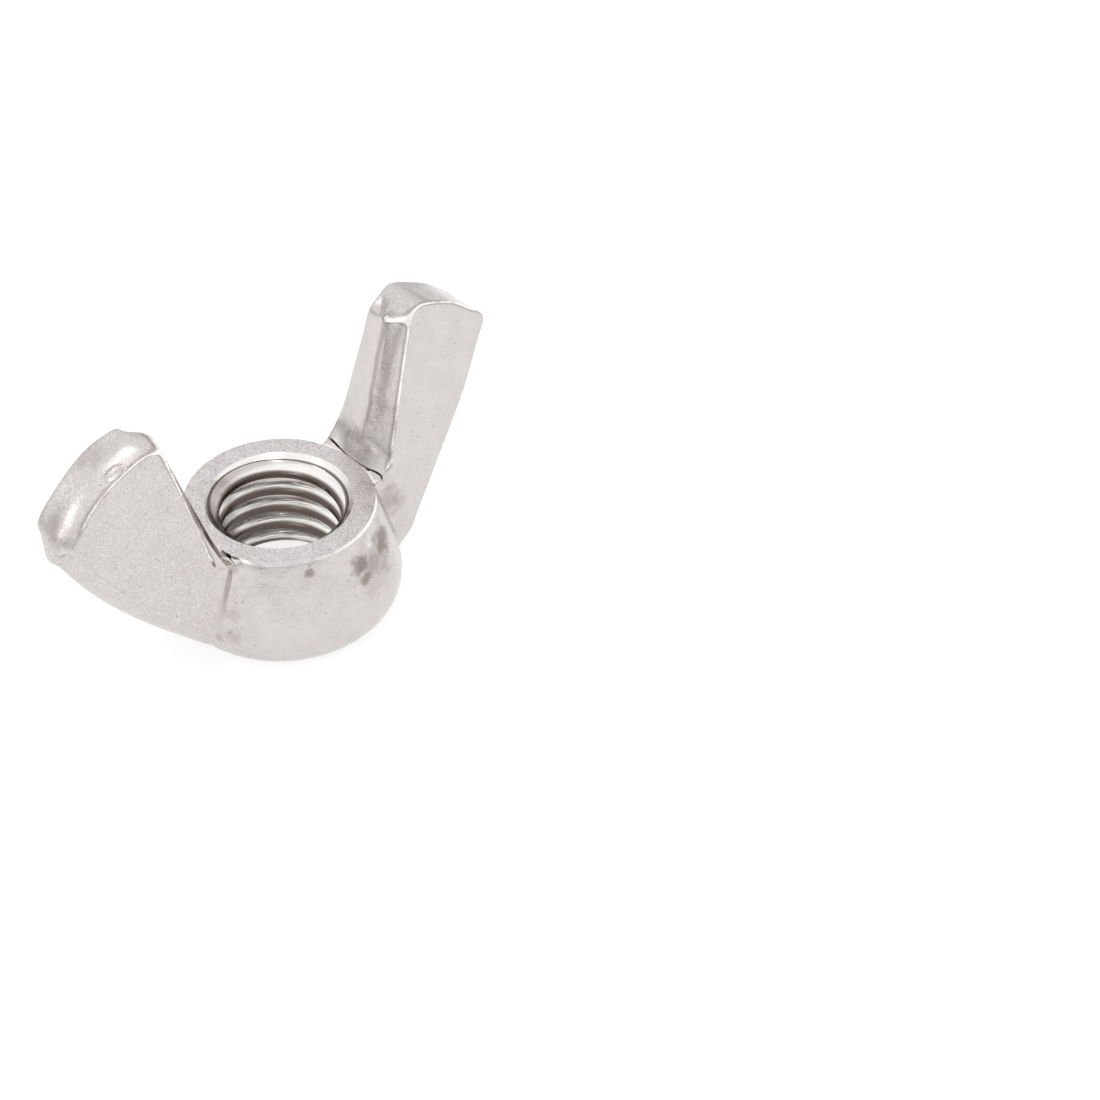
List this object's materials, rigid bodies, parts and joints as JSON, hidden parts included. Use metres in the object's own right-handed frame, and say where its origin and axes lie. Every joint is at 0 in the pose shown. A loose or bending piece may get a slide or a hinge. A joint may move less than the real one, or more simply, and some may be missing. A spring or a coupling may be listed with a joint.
{
  "type": "wing nut",
  "caption": "Forged metal wing nut: round tapered hub with a threaded bore and drafted finger wings for turning by hand.",
  "frame": {"origin": "on the thread's axis, in the plane of the seat face that bears on the work", "axes": "+Z along the thread's axis from the seat face to the wings' tips, +X out along one wing"},
  "size_m": [0.0288, 0.0132, 0.0158],
  "materials": {
    "bright_metal": "bright forged stainless steel, fine orange peel, machined faces satin"
  },
  "bodies": {
    "root": {"wing_nut": "bright_metal"}
  },
  "joints": []
}
